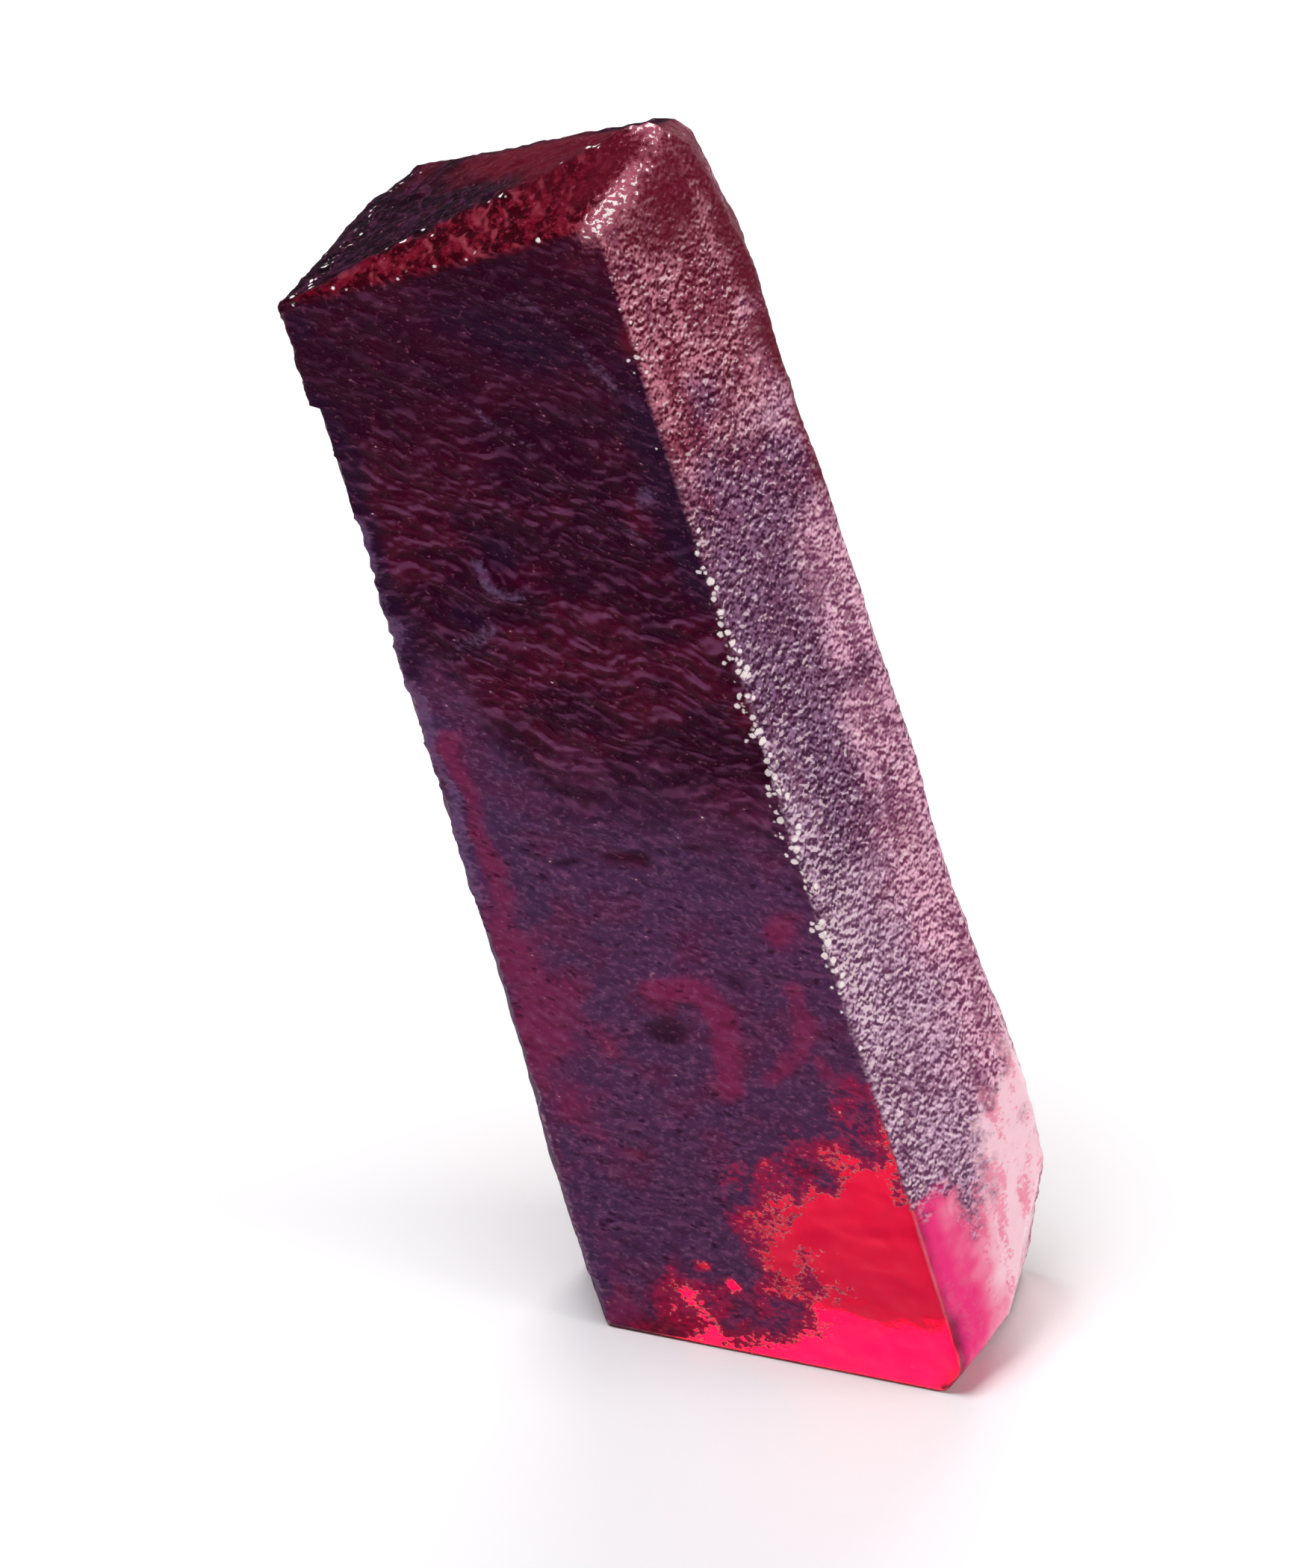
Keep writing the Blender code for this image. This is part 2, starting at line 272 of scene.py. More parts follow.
# Coats: a base colour under layers, each with its masks, its share and its colour. A colour is a setting, an
# sRGB code or a coat above.
COATS = {
    # Maroon above with violet patches, dusty mauve below with small pits that are painted dark as painted
    # shade, rosy thin skin. The ripples' upper sides are painted paler as a painted highlight, and their
    # undersides are painted darker as painted shade. Painted shade fills the dark hollows, and the lilac
    # places are a paler frost that is partly a painted sheen.
    "front": ("deep_colour", (
        ("cloud", 0.85, "crimson_colour"),
        ("violet", 0.9, "violet_colour"),
        ("dusty", 0.9, "dusty_colour"),
        ("plum", 0.5, "plum_colour"),
        ("dusty * dust specks", 0.45, "speck_colour"),
        ("blush paint", 0.72, "blush_colour"),
        # Painted shade on the ripples' undersides, and a painted highlight on their upper sides.
        ("undersides * rippled", 0.6, "dark_colour"),
        ("crests * rippled", 0.58, "crest_colour"),
        ("lilac paint", 0.55, "lilac_colour"),
        # Painted shade in the hollows and the pits.
        ("dark paint", 0.7, "dark_colour"),
        ("pits * likely pits * pitted", 0.65, "dark_colour"),
    )),
    # Narrow face: brown pink above, grey mauve in the middle, pale lilac below, in a lit and a shaded copy.
    # The grains' upper sides take the lit copy and are lighter than the hollows between them, which take the
    # shaded one, as painted light and shade. The steepest ones get painted glints.
    "lit flank grains": ("flank_low_colour", (
        ("upper", 1.0, "flank_top_colour"),
        ("pinker", 0.8, "flank_pink_colour"),
        ("smoke", 0.8, "flank_smoke_colour"),
        ("blotch * upper", 0.7, "#8c3048"),
        ("streaks", 0.55, "#7c3c60"),
    )),
    # The shaded copy of the narrow face, with painted glints on the steepest grains.
    "flank": ("#643a5a", (
        ("upper", 1.0, "#580e22"),
        ("pinker", 0.8, "#7a365c"),
        ("smoke", 0.8, "#340c2c"),
        ("grains", 1.0, "lit flank grains"),
        ("glints", 0.5, "sparkle_colour"),
    )),
    # Top: crimson lumps on the slope to the front, dark violet ones on the other, with a painted highlight
    # on the upper sides of their ripples.
    "front slope": ("#3a040e", (("top lumps", 1.0, "#761226"), ("top crests", 1.0, "#903644"))),
    "back slope": ("#10030e", (("top lumps", 1.0, "#280a20"), ("top crests", 1.0, "#421c38"))),
    "top": ("back slope", (("slope", 1.0, "front slope"),)),
    # Clear part: no colour of its own on the front, pink frost with veins on the narrow face.
    "frost": ("#ff3a86", (("paler", 1.0, "#ffd4e0"), ("veins", 0.6, "#f2608c"))),
    "clear": ("#ffffff", (("beside", 1.0, "frost"),)),
    "crystal": ("front", (
        ("flank", 1.0, "flank"),
        ("crown", 1.0, "top"),
        ("corner", 0.92, "#641222"),
        ("band", 0.8, "#c46c80"),
        # Painted glints on the beads.
        ("beads", 1.0, "sparkle_colour"),
        # Painted red glow next to the clear part.
        ("glow * off the flank", 0.85, "#c01248"),
        ("bare", 1.0, "clear"),
    )),
}

# Roughness of the skin and the clear part, and what the fine noise and the top add.
SKIN_ROUGHNESS = 0.50
CLEAR_ROUGHNESS = 0.12
FINE_ROUGHNESS = 0.16
CROWN_ROUGHNESS = 0.35
SHEEN = 0.05  # specular level
SHEEN_COLOUR = "#e060c8"
PATTERN_ROUGHNESS = 0.6  # how strong a pattern's finer layers are

# Fine relief: its height, each pattern's share, and what is left in the clear part and of dusty ripples.
BUMP_HEIGHT = 0.20 * MM
RIPPLE_RELIEF = 1.3
GRAIN_RELIEF = 0.4
FINE_RELIEF = 0.22
CLEAR_RELIEF = 0.12
DUSTY_RELIEF = 0.45

FLOOR_DROP = 0.02 * MM  # how far the floor lies under the foot

# The camera, in degrees and millimetres: how far up it is, what it looks at, and from how far.
CAMERA_RISE = 30.0
CAMERA_TARGET = (-0.228, 4.42, 8.80)
CAMERA_DISTANCE = 408.33
CAMERA_LENS = 500.0
CAMERA_SENSOR = 36.0

# The grid: columns along each side of the section, front first, rows of each part, how often a rim is worked
# out again from a first guess, and how often the grid is softened.
SIDE_COLUMNS = (96, 42, 24, 62, 28, 24)
WALL_ROWS = 290
TOP_ROWS = 34
FOOT_ROWS = 14
RING_STEPS = 14
RIM_GUESS = 22.0 * MM
SOFTEN_PASSES = 2


def to_linear(code):
    """A linear RGBA colour from an sRGB hex code, by the sRGB curve."""
    channels = np.array([int(code[place : place + 2], 16) for place in (1, 3, 5)]) / 255.0
    linear = np.where(channels <= 0.04045, channels / 12.92, ((channels + 0.055) / 1.055) ** 2.4)
    return (*linear.tolist(), 1.0)


# ---- noise


CELL_PRIMES = np.array((73856093, 19349663, 83492791))


def cell_numbers(cells, seed):
    """One number from 0 to 1 for each lattice cell: its indices times primes, mixed by shifts."""
    mixed = np.bitwise_xor.reduce(cells * CELL_PRIMES, axis=-1) ^ seed * 2654435761
    mixed = ((mixed ^ (mixed >> 13)) * 1274126177) & 0xFFFFFFFF
    return ((mixed ^ (mixed >> 15)) & 0xFFFFFF) / 0xFFFFFF


def smooth_noise(points, seed):
    """Noise from -1 to 1: random lattice values, blended by an eased trilinear weight."""
    low = np.floor(points).astype(np.int64)
    part = points - low
    eased = part * part * (3.0 - 2.0 * part)
    total = np.zeros(points.shape[:-1])
    for corner in np.ndindex(2, 2, 2):
        weights = np.where(np.array(corner) == 1, eased, 1.0 - eased).prod(axis=-1)
        total += weights * cell_numbers(low + np.array(corner), seed)
    return 2.0 * total - 1.0


def layered_noise(points, layers, seed):
    """Noise layers, each half as big and half as strong as the last, scaled back to -1 to 1."""
    shares = 0.5 ** np.arange(layers)
    total = sum(share * smooth_noise(points / share, seed + layer) for layer, share in enumerate(shares))
    return total / shares.sum()


def grain_domes(points, seed):
    """Domes packed like grains: 1 less the distance from the nearest seed point."""
    low = np.floor(points).astype(np.int64)
    nearest = np.full(points.shape[:-1], 9.0)
    for step in np.ndindex(3, 3, 3):
        cells = low + np.array(step) - 1
        seeds = np.stack([cell_numbers(cells, seed + axis) for axis in range(3)], axis=-1)
        nearest = np.minimum(nearest, np.linalg.norm(cells + seeds - points, axis=-1))
    return np.clip(1.0 - nearest, 0.0, 1.0)


def ease(values, low, high):
    """0 below low, 1 above high, and a smooth cubic step between them."""
    share = np.clip((values - low) / (high - low), 0.0, 1.0)
    return share * share * (3.0 - 2.0 * share)


# ---- shape of the crystal


def crystal_axes():
    """The long axis, and the two directions across it: to the right, and to the back."""
    axis = np.array((-math.tan(LEAN_LEFT), -math.tan(LEAN_FRONT), 1.0))
    axis /= np.linalg.norm(axis)
    right = np.array((1.0, 0.0, 0.0)) - axis[0] * axis
    right /= np.linalg.norm(right)
    return axis, right, np.cross(axis, right)


AXIS, RIGHT, BACK = crystal_axes()


def run_of(side):
    """Which way prism face number side runs, seen down the long axis."""
    angle = PRISM_TURN + side * SIDE_TURN
    return math.cos(angle) * RIGHT + math.sin(angle) * BACK


def outward_of(side, taper=0.0):
    """Which way prism face number side faces, turned up by the taper."""
    angle = PRISM_TURN + side * SIDE_TURN
    flat = math.sin(angle) * RIGHT - math.cos(angle) * BACK
    return math.cos(taper) * flat + math.sin(taper) * AXIS


def section_corners():
    """The section's six corners, one side's run after another from the foot corner."""
    widths = (FRONT_WIDTH, FLANK_WIDTH, END_WIDTH, FRONT_WIDTH, FLANK_WIDTH)
    steps = [width * run_of(side) for side, width in enumerate(widths)]
    return FOOT_CORNER + np.cumsum([np.zeros(3), *steps], axis=0)


CORNERS = section_corners()
TAPERS = (0.0, FLANK_TAPER, RIGHT_END_TAPER, 0.0, 0.0, LEFT_END_TAPER)
PRISM_ANCHORS = [0, 1, 2, 3, 4, 0]


def facet_planes(facets):
    """Outward directions and offsets of facets given by two angles and a distance."""
    turn, rise, distance = np.array(facets).T
    turn, rise = np.radians(turn), np.radians(rise)
    outward = np.stack([np.cos(rise) * np.cos(turn), np.cos(rise) * np.sin(turn), np.sin(rise)], axis=-1)
    return outward, distance * MM + outward @ FOOT_CORNER


def wall_planes():
    """Outward directions and offsets of the six prism faces and the steep facets."""
    prism = np.array([outward_of(side, taper) for side, taper in enumerate(TAPERS)])
    offsets = (prism * CORNERS[PRISM_ANCHORS]).sum(axis=-1)
    steep, steep_offsets = facet_planes(WALL_FACETS)
    return np.concatenate([prism, steep]), np.concatenate([offsets, steep_offsets])


def spokes():
    """The section's middle, and unit directions from it to points evenly set along each side."""
    middle = CORNERS.mean(axis=0)
    ends = np.roll(CORNERS, -1, axis=0)
    rim = [
        start + (end - start) * ((np.arange(count) + 0.5) / count)[:, None]
        for start, end, count in zip(CORNERS, ends, SIDE_COLUMNS)
    ]
    out = np.concatenate(rim) - middle
    out -= (out @ AXIS)[:, None] * AXIS
    return middle - ((middle - FOOT_CORNER) @ AXIS) * AXIS, out / np.linalg.norm(out, axis=-1, keepdims=True)


def wall_reach(middle, out, heights):
    """How far a spoke at each height runs before it meets the first wall plane."""
    normals, offsets = wall_planes()
    facing = out @ normals.T
    gap = offsets - middle @ normals.T - heights[..., None] * (AXIS @ normals.T)
    reach = np.where(facing > 1e-6, gap / np.maximum(facing, 1e-6), np.inf)
    return reach.min(axis=-1)


def end_height(points, facets, pick):
    """The height at which lines along the axis through the points meet an end's facets."""
    normals, offsets = facet_planes(facets)
    return pick((offsets - points @ normals.T) / (AXIS @ normals.T), axis=-1)


def end_ring(middle, out, facets, pick, start):
    """The height and reach of the rim, found by meeting the walls and the end in turn."""
    heights = np.full(len(out), start)
    for _ in range(RING_STEPS):
        reach = wall_reach(middle, out, heights)
        heights = end_height(middle + reach[:, None] * out, facets, pick)
    return heights, reach


def end_rows(middle, out, reach, count, facets, pick):
    """Rows of points over the foot or the top, from near its middle to near its rim."""
    share = (np.arange(count) + 0.5) / count
    flat = middle + (share[:, None] * reach)[..., None] * out
    return flat + end_height(flat, facets, pick)[..., None] * AXIS


def sharp_grid():
    """Rows of points from the foot's middle, out and up the walls, and in to the top's middle."""
    middle, out = spokes()
    foot, foot_reach = end_ring(middle, out, FOOT_FACETS, np.max, 0.0)
    top, top_reach = end_ring(middle, out, TOP_FACETS, np.min, RIM_GUESS)
    heights = foot + np.linspace(0.0, 1.0, WALL_ROWS)[:, None] * (top - foot)
    walls = middle + wall_reach(middle, out, heights)[..., None] * out + heights[..., None] * AXIS
    below = end_rows(middle, out, foot_reach, FOOT_ROWS, FOOT_FACETS, np.max)
    above = end_rows(middle, out, top_reach, TOP_ROWS, TOP_FACETS, np.min)
    return np.concatenate([below, walls, above[::-1]])


def soften(grid):
    """Moves each point halfway to the mean of its four neighbours, which leaves flat stretches alone."""
    for _ in range(SOFTEN_PASSES):
        beside = np.roll(grid, 1, axis=1) + np.roll(grid, -1, axis=1)
        above = grid[2:] + grid[:-2]
        grid = grid.copy()
        grid[1:-1] = 0.5 * grid[1:-1] + 0.125 * (beside[1:-1] + above)
    return grid


def grid_normals(grid):
    """Outward directions from the differences along and across the rows."""
    along = np.roll(grid, -1, axis=1) - np.roll(grid, 1, axis=1)
    normals = np.cross(along, np.gradient(grid, axis=0))
    return normals / np.maximum(np.linalg.norm(normals, axis=-1, keepdims=True), 1e-12)


def closed_mesh(name, grid):
    """A mesh of quads between the rows, with a fan of triangles round a middle point at each end."""
    rows, columns = grid.shape[:2]
    points = np.concatenate([grid.reshape(-1, 3), [grid[0].mean(axis=0)], [grid[-1].mean(axis=0)]])
    here = np.arange(columns)
    after = np.roll(here, -1)
    lower = (np.arange(rows - 1) * columns)[:, None]
    quads = np.stack([lower + here, lower + after, lower + columns + after, lower + columns + here], axis=-1)
    foot, top = rows * columns, rows * columns + 1
    last = (rows - 1) * columns
    foot_fan = np.stack([np.full(columns, foot), after, here], axis=-1)
    top_fan = np.stack([np.full(columns, top), last + here, last + after], axis=-1)
    faces = quads.reshape(-1, 4).tolist() + foot_fan.tolist() + top_fan.tolist()
    mesh = bpy.data.meshes.new(name)
    mesh.from_pydata(points.tolist(), [], faces)
    mesh.shade_smooth()
    return mesh


# ---- relief and markings


class Places:
    """Where each point of the grid lies on the crystal, in millimetres, and on which face."""

    def __init__(self, grid):
        from_corner = grid - FOOT_CORNER
        self.solid = grid / MM
        self.normals = grid_normals(grid)
        self.height = from_corner @ AXIS / MM
        self.across = from_corner @ run_of(0) / MM
        self.flank_across = (grid - CORNERS[1]) @ run_of(1) / MM
        self.front = ease(self.normals @ outward_of(0), 0.80, 0.97)
        self.flank = ease(self.normals @ outward_of(1), -0.15, 0.10) * (1.0 - self.front)
        facing_front = ease(self.normals @ outward_of(0), 0.70, 0.90)
        self.beside = ease(self.normals @ outward_of(1), 0.25, 0.45) * (1.0 - facing_front)
        planes = (wall_planes(), facet_planes(TOP_FACETS))
        self.wall_gap, self.top_gap = ((offsets - grid @ normals.T) / MM for normals, offsets in planes)
        self.crown = 1.0 - ease(self.top_gap[..., :4].min(axis=-1), 0.02, 0.14)
        self.drawn = self.height[..., None] * AXIS
        self.flat = self.solid - self.drawn
        right_of_top = np.minimum(self.wall_gap[..., 1], self.top_gap[..., 4])
        self.clump = self.edge(self.top_gap[..., 0], right_of_top, 0.34)
        self.sparkle = self.grainy_edges()
        self.cloud = layered_noise(self.stretched(*CLOUD_SIZE), 4, 61)
        self.border = layered_noise(self.stretched(*BORDER_SIZE), 4, 67)
        stray = [MARK_STRAY * layered_noise(self.solid / MARK_STRAY_SIZE, 3, seed) for seed in (41, 47)]
        self.mark_across, self.mark_height = self.across + stray[0], self.height + stray[1]

    def stretched(self, wide, tall):
        """Points for noise whose spots are so wide across the long axis and so tall along it."""
        return self.flat / wide + self.drawn / tall

    def painted(self, forms):
        """Bells on the front face, at places that noise has moved."""
        return bells(self.mark_across, self.mark_height, forms)

    def edge(self, first, second, width):
        """1 on the edge between two faces given by their gaps, and a bell of that width round it."""
        return np.exp(-((np.maximum(first, second) / width) ** 2))

    def grainy_edges(self):
        """How thickly raised grains with painted glints sit on the top's edges, the left rim and the front
        right edge.
        """
        wall, top = self.wall_gap, self.top_gap
        thicker = ease(self.height, 6.0, 9.0) * (1.0 - ease(self.height, 16.0, 19.0))
        thickness = (0.48 + 0.40 * thicker) * ease(self.height, 3.2, 4.5)
        rows = (
            thickness * self.edge(wall[..., 0], wall[..., 1], 0.25),
            0.55 * self.clump,
            0.52 * self.edge(top[..., 0], top[..., 1], 0.18),
            0.52 * self.edge(top[..., 0], wall[..., 0], 0.18),
            0.75 * self.edge(top[..., 3], wall[..., 5], 0.32),
            0.65 * self.edge(top[..., 3], top[..., 1], 0.20),
            0.55 * self.edge(top[..., 1], wall[..., 4], 0.22),
            0.45 * self.edge(top[..., 2], wall[..., 4], 0.22),
            0.45 * self.edge(top[..., 2], wall[..., 3], 0.22),
        )
        return np.max(rows, axis=0)


def bells(across, height, forms):
    """The sum of bells on a face: each falls as the exponential of its squared distance."""
    total = np.zeros(height.shape)
    for place, level, half_width, half_height, strength in forms:
        beside = (across - place) / half_width
        above = (height - level) / half_height
        total += strength * np.exp(-(beside**2) - above**2)
    return total


def distance_to_path(across, height, points):
    """How far each place on a face lies from a path of straight runs."""
    nearest = np.full(across.shape, np.inf)
    place = np.stack([across, height], axis=-1)
    for start, end in zip(np.array(points[:-1]), np.array(points[1:])):
        run = end - start
        share = np.clip(((place - start) @ run) / (run @ run), 0.0, 1.0)
        nearest = np.minimum(nearest, np.linalg.norm(place - start - share[..., None] * run, axis=-1))
    return nearest


def strokes(places, rows):
    """The strongest of several paths, each a bell of the distance from it over its half width."""
    strongest = np.zeros(places.height.shape)
    for half_width, strength, points in rows:
        away = distance_to_path(places.mark_across, places.mark_height, points) / half_width
        strongest = np.maximum(strongest, strength * np.exp(-1.4 * away**2))
    return strongest


def inside_outline(across, height, outline):
    """Distance from a closed outline, above 0 where a ray to the right crosses it an odd number of times."""
    closed = (*outline, outline[0])
    crossings = np.zeros(across.shape, dtype=int)
    for (x_start, y_start), (x_end, y_end) in zip(closed[:-1], closed[1:]):
        spans = (y_start > height) != (y_end > height)
        meets = x_start + (height - y_start) * (x_end - x_start) / ((y_end - y_start) or 1e-9)
        crossings += spans & (across < meets)
    return distance_to_path(across, height, closed) * np.where(crossings % 2 == 1, 1.0, -1.0)


def ledges(places):
    """Growth ledges: each drops below a sloping line, and comes back slowly further down."""
    total = np.zeros(places.height.shape)
    for level, climb, depth in FRONT_LEDGES:
        wave = 0.35 * smooth_noise(places.stretched(0.9, 9.0), 31)
        line = level + climb * places.across / (FRONT_WIDTH / MM) + wave
        below = 1.0 - ease(places.height, line - LEDGE_DROP, line)
        total -= depth * below * ease(places.height, line - LEDGE_RUN, line)
    return total


def etch_ripples(places):
    """Thin wavy crests that fall to the right: one less the size of stretched, bent noise."""
    falling = RIPPLE_FALL * places.across[..., None] * AXIS / RIPPLE_SIZE[1]
    wave = RIPPLE_BEND * layered_noise(places.solid / RIPPLE_BEND_SIZE, 2, 51)[..., None]
    return 1.0 - 2.2 * np.abs(layered_noise(places.stretched(*RIPPLE_SIZE) + falling + wave, 3, 11))


def left_edge_steps(places):
    """How far the left edge stands out above the notch, less its steps and chips."""
    near = 1.0 - ease(np.abs(places.across), 0.18, 0.70)
    out = NOTCH_STEP * ease(places.height, NOTCH_HEIGHT - 0.08, NOTCH_HEIGHT)
    for level, depth in EDGE_STEPS:
        out -= depth * ease(places.height, level - 1.2, level) * (places.height < level)
    chips = CHIP_DEPTH * np.abs(layered_noise(places.stretched(9.0, CHIP_LENGTH), 3, 71))
    return near * (out - chips)


def relief_of(places, settings):
    """How far each point moves out along its normal, in millimetres."""
    swells = SWELL_HEIGHT * smooth_noise(places.solid / SWELL_SIZE, 3)
    lumps = LUMP_HEIGHT * layered_noise(places.stretched(*LUMP_SIZE), 3, 5)
    forms = places.painted(FRONT_FORMS) + ledges(places)
    forms += LILAC_RISE * strokes(places, LILAC_STROKES) - DARK_STROKE_DEPTH * strokes(places, DARK_STROKES)
    forms -= DARK_BELL_DEPTH * places.painted(DARK_BELLS)
    etched = ease(places.height, 8.0, 13.0) * 0.75 + 0.25
    ripples = settings.ripple_height / MM * etched * etch_ripples(places)
    relief = swells + lumps + places.front * (forms + ripples)
    grains = grain_domes(places.stretched(*GRAIN_SIZE), 7)
    relief += places.flank * settings.grain_height / MM * grains
    relief += places.crown * CROWN_GRAIN_HEIGHT * grain_domes(places.solid / CROWN_GRAIN_SIZE, 17)
    beads = grain_domes(places.solid / BEAD_SIZE, 27)
    return relief + (1.6 * places.sparkle + 0.6 * places.clump) * BEAD_HEIGHT * (beads - 0.35)


def carve(grid, places, settings):
    """Moves the points by the relief, and sideways at the left edge, but for the foot."""
    shift = relief_of(places, settings)[..., None] * places.normals
    shift = shift - left_edge_steps(places)[..., None] * run_of(0)
    above_foot = ease(grid[..., 2] / MM, 0.03, 0.7)
    return grid + MM * above_foot[..., None] * shift


def clear_field(places):
    """Distance inside the clear parts of the front and of the narrow face, and round the back."""
    on_front = inside_outline(places.mark_across, places.mark_height, FRONT_CLEAR)
    on_front = on_front - places.painted(VEIL_BELLS) + places.painted(BARE_BELLS)
    on_flank = inside_outline(places.flank_across, places.height, FLANK_CLEAR)
    left = np.maximum(places.normals @ outward_of(4), places.normals @ outward_of(5))
    behind = 0.5 * (8.0 - places.height) - 6.0 * ease(left, 0.60, 0.80)
    turned = ease(places.normals @ outward_of(0), 0.60, 0.80)
    elsewhere = places.beside * on_flank + (1.0 - places.beside) * behind
    inside = turned * on_front + (1.0 - turned) * elsewhere
    return inside + 0.9 * places.border + 0.35 * layered_noise(places.solid / 0.28, 2, 83)


def front_fields(places):
    """The front's fields: painted marks, the dust below its line, redder clouds and ripples."""
    height, border, cloud = places.height, places.border, places.cloud
    marks = {
        "violet": (VIOLET_BELLS, VIOLET_STROKES),
        "lilac": (LILAC_BELLS, LILAC_STROKES),
        "dark": (DARK_BELLS, DARK_STROKES),
        "blush": (BLUSH_BELLS, BLUSH_STROKES),
    }
    for name, (spots, paths) in marks.items():
        marks[name] = np.maximum(places.painted(spots), strokes(places, paths))
    violet = marks["violet"] = ease(marks["violet"], 0.05, 0.95)
    shake = 0.5 * border + 0.2 * cloud
    for name, made in marks.items():
        marks[name] = places.front * ease(made + shake * (made > 0.02), 0.05, 1.0)
    dust = np.interp(places.mark_across, *np.array(DUST_LINE).T) - places.mark_height
    dusty = ease(dust + 1.4 * border, -1.5, 1.5)
    patchy = (0.55 + 0.45 * ease(border + cloud, -0.3, 0.3)) * (1.0 - 0.55 * ease(height, 18.5, 21.0))
    return {
        **marks,
        "cloud": ease(cloud + 0.4 * border, -0.15, 0.25) * (1.0 - 0.6 * ease(height, 17.0, 20.5)),
        "dusty": dusty,
        "plum": dusty * ease(border - 0.5 * cloud, -0.05, 0.25),
        "pitted": ease(dust, -0.5, 1.5) * (0.5 + 0.5 * ease(cloud, -0.10, 0.10)),
        "rippled": patchy * (1.0 - 0.45 * dusty) * (1.0 - 0.5 * violet),
        "sway": MM * SWAY * layered_noise(places.solid / SWAY_SIZE, 2, 89),
    }


def flank_fields(places):
    """The narrow face's fields, and where dark red shows: at its top and right edge, and on the front."""
    height, border, cloud, aside = places.height, places.border, places.cloud, places.flank_across
    paler = ease(aside + 0.8 * border, 0.5, 2.0)
    frosted = places.beside * ease(aside + 0.3 * border, -0.15, 0.35)
    down = 0.9 * places.flank * ease(aside + 0.10 * (height - 19.0), 2.3, 2.9) * ease(height, 12.5, 17.0)
    on_front = places.front * bells(places.across, height, RED_FRONT_BELLS)
    red = np.max([bells(aside, height, RED_FLANK_BELLS), down, on_front], axis=0)
    return {
        "flank": places.flank,
        "beside": places.beside,
        "upper": ease(height + 3.0 * cloud, 14.5, 20.5),
        "pinker": ease(aside + 0.9 * cloud - 0.11 * np.abs(height - 11.0), 0.6, 2.0),
        "smoke": ease(bells(aside, height, SMOKE_BELLS) + 0.9 * cloud + 0.3 * border, 0.15, 0.75),
        "blotch": ease(layered_noise(places.stretched(*BLOTCH_SIZE), 4, 101), 0.0, 0.25),
        "mottle": layered_noise(places.stretched(*STREAK_SIZE), 3, 97),
        "glitter": bells(aside, height, GLITTER_BELLS),
        "paler": paler,
        "through": 1.0 - frosted * (0.84 + 0.10 * paler),
        "corner": ease(red + 0.6 * border, 0.1, 1.0),
    }


def mark(mesh, places):
    """Keeps the fields on the mesh, with a mean for each end's middle point, and returns their names."""
    fields = {
        **front_fields(places),
        **flank_fields(places),
        "clear": clear_field(places),
        "crown": places.crown,
        "slope": ease(places.top_gap[..., 1] - places.top_gap[..., 0], -0.06, 0.06),
        "sparkle": places.sparkle,
        "clump": places.clump,
    }
    for name, values in fields.items():
        numbers = np.concatenate([values.ravel(), [values[0].mean(), values[-1].mean()]])
        mesh.attributes.new(name, "FLOAT", "POINT").data.foreach_set("value", numbers.astype(np.float32))
    return tuple(fields)


# ---- material


TIMES = {"operation": "MULTIPLY"}
TIMES_PLUS = {"operation": "MULTIPLY_ADD"}


def add_node(tree, kind, values):
    """Adds a shader node and sets its properties and sockets. A value that is a node or socket is linked."""
    node = tree.nodes.new("ShaderNode" + kind)
    for name, value in values.items():
        live = [socket for socket in node.inputs if socket.enabled and socket.name == name]
        if isinstance(name, int):
            live = [node.inputs[name]]
        if isinstance(value, bpy.types.Node):
            value = next(socket for socket in value.outputs if socket.enabled)
        if isinstance(value, bpy.types.NodeSocket):
            tree.links.new(value, live[0])
        elif live:
            live[0].default_value = value
        else:
            setattr(node, name, value)
    return node


def crystal_patterns(tree, sway):
    """Every pattern by name, in coordinates that follow the long axis, some of them bent along it."""
    place = add_node(tree, "TexCoord", {}).outputs["Object"]
    swayed = add_node(tree, "VectorMath", {**TIMES_PLUS, 0: AXIS, 1: sway, 2: place})
    patterns = {}
    for name, (kind, wide, tall, lean, detail, shift, bends) in PATTERNS.items():
        tilt = math.radians(lean)
        right = math.cos(tilt) * RIGHT - math.sin(tilt) * AXIS
        axis = math.sin(tilt) * RIGHT + math.cos(tilt) * AXIS
        turned = {
            "vector_type": "TEXTURE",
            "Vector": swayed if bends else place,
            "Location": -shift * MM * AXIS,
            "Rotation": Matrix((right, BACK, axis)).transposed().to_euler(),
            "Scale": (wide * MM, wide * MM, tall * MM),
        }
        grown = {"Scale": 1.0, "Detail": detail, "Roughness": PATTERN_ROUGHNESS}
        patterns[name] = add_node(tree, kind, {"Vector": add_node(tree, "Mapping", turned), **grown})
    for name in ("pit", "bead"):
        patterns[name + " tone"] = patterns[name].outputs["Color"]
    return patterns


